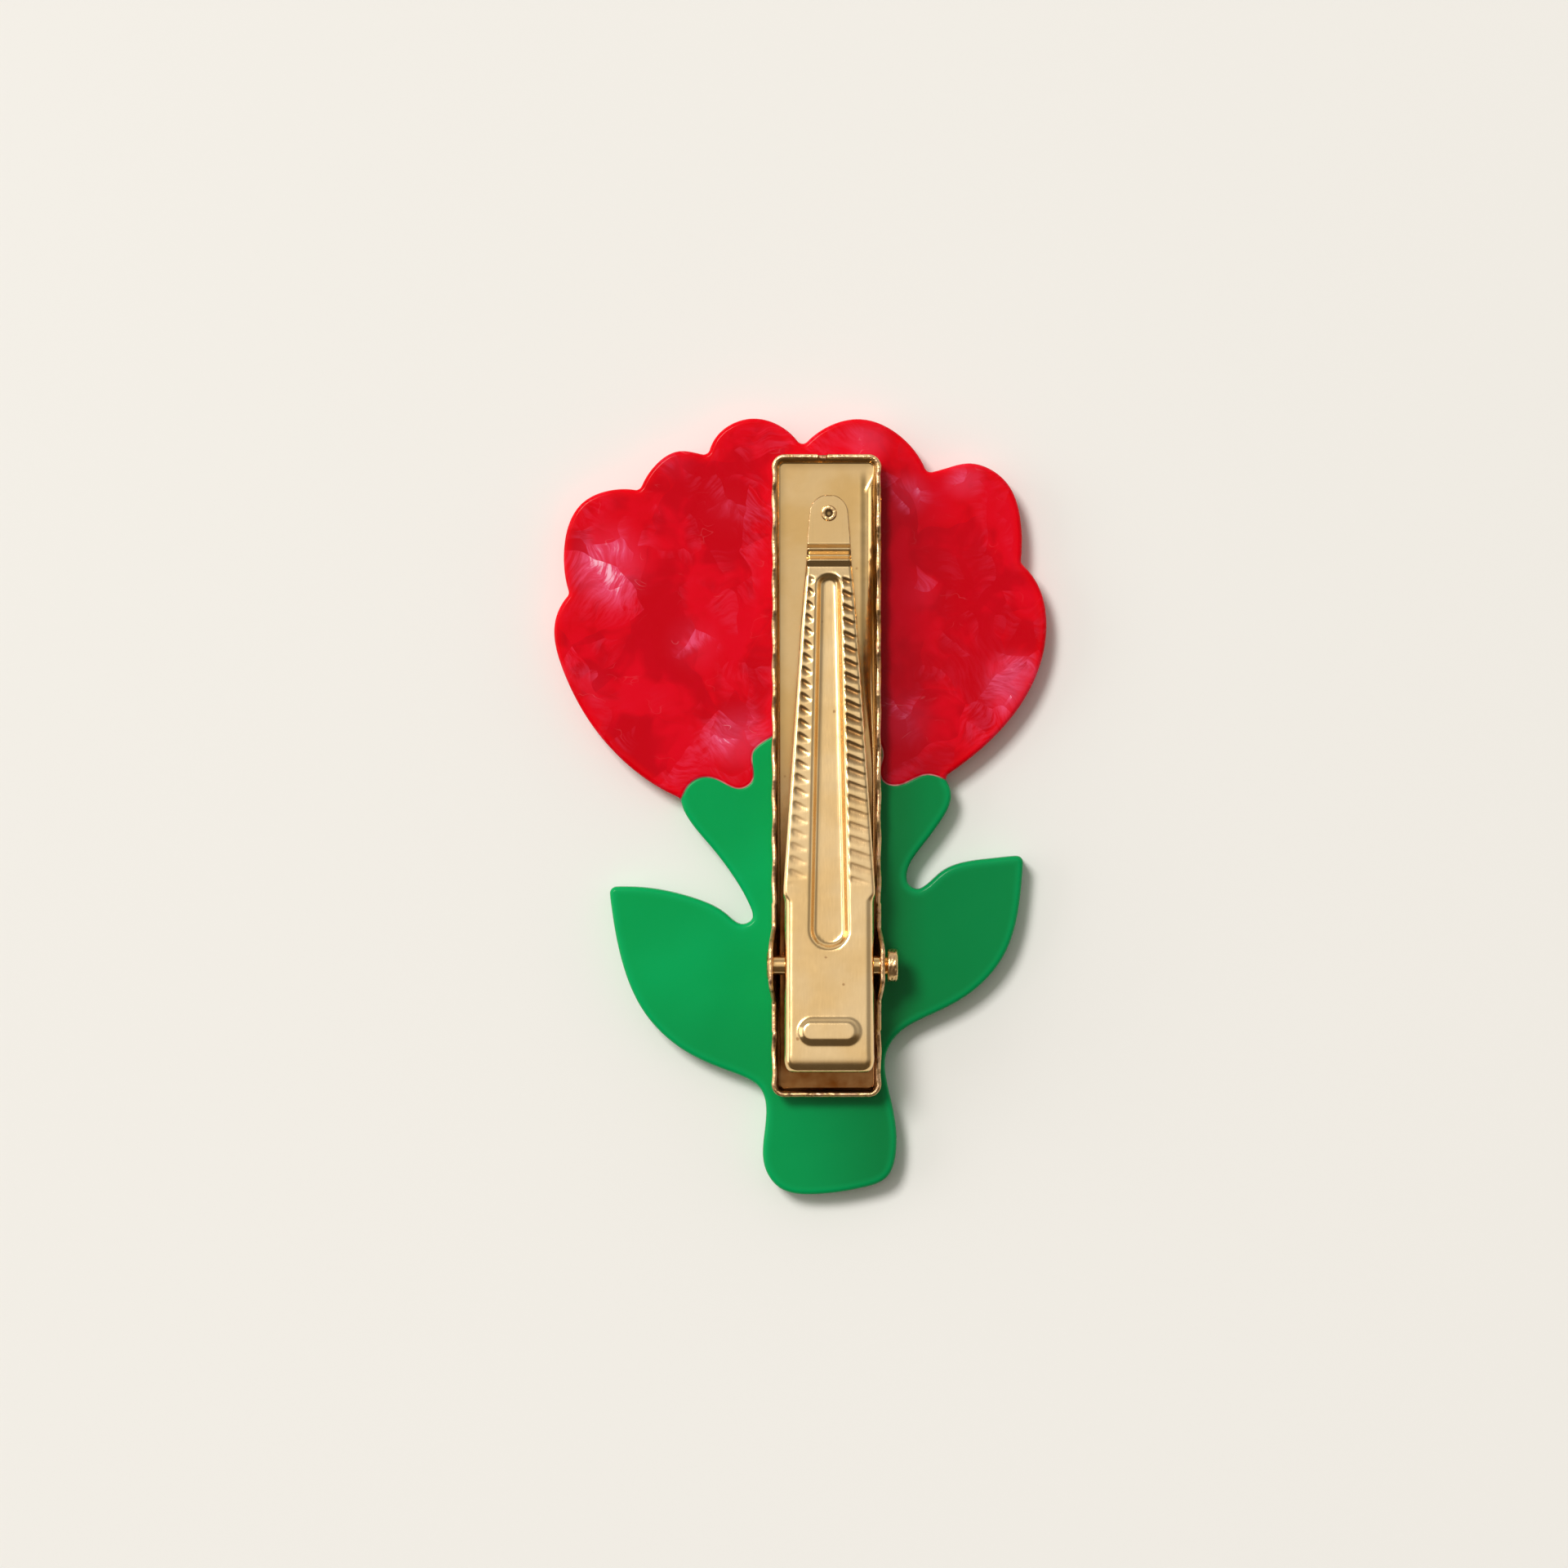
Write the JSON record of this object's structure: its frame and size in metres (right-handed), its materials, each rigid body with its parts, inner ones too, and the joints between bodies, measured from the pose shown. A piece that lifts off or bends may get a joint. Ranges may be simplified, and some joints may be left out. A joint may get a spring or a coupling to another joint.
{
  "type": "flower hair clip",
  "caption": "Flower-shaped hair clip: two flat acetate plates joined edge to edge, with a sprung metal jaw clip glued on the back.",
  "frame": {"origin": "middle of the flower's outline, on the display face that rests on the surface", "axes": "+X across the flower, +Y along the stem towards the petals, +Z out of the back, towards the metal clip"},
  "size_m": [0.0385, 0.0606, 0.0081],
  "materials": {
    "red_pearl_acetate": "polished, with pearl flakes",
    "green_acetate": "polished",
    "clear_cement": "polished flush",
    "glue_film": "cured clear glue",
    "gold_plated_tray": "bright plated",
    "gold_plated_pin": "bright plated",
    "spring_wire": "drawn wire",
    "gold_plated_lever": "bright plated"
  },
  "bodies": {
    "base": {"flower_petals": "red_pearl_acetate", "stem_and_leaves": "green_acetate", "seam_cement": "clear_cement", "clip_adhesive": "glue_film", "base_tray": "gold_plated_tray", "hinge_pin": "gold_plated_pin", "torsion_spring": "spring_wire"},
    "lever": {"lever": "gold_plated_lever"}
  },
  "joints": [
    {"name": "lever_pivot", "type": "hinge", "parent": "base", "child": "lever", "pos_m": [0.002, -0.0123, 0.0054], "axis": [1, 0, 0], "range_deg": [0, 23], "stiffness_Nm_per_rad": 0.08, "springref_deg": -20.05, "deforming": ["torsion_spring"]}
  ]
}
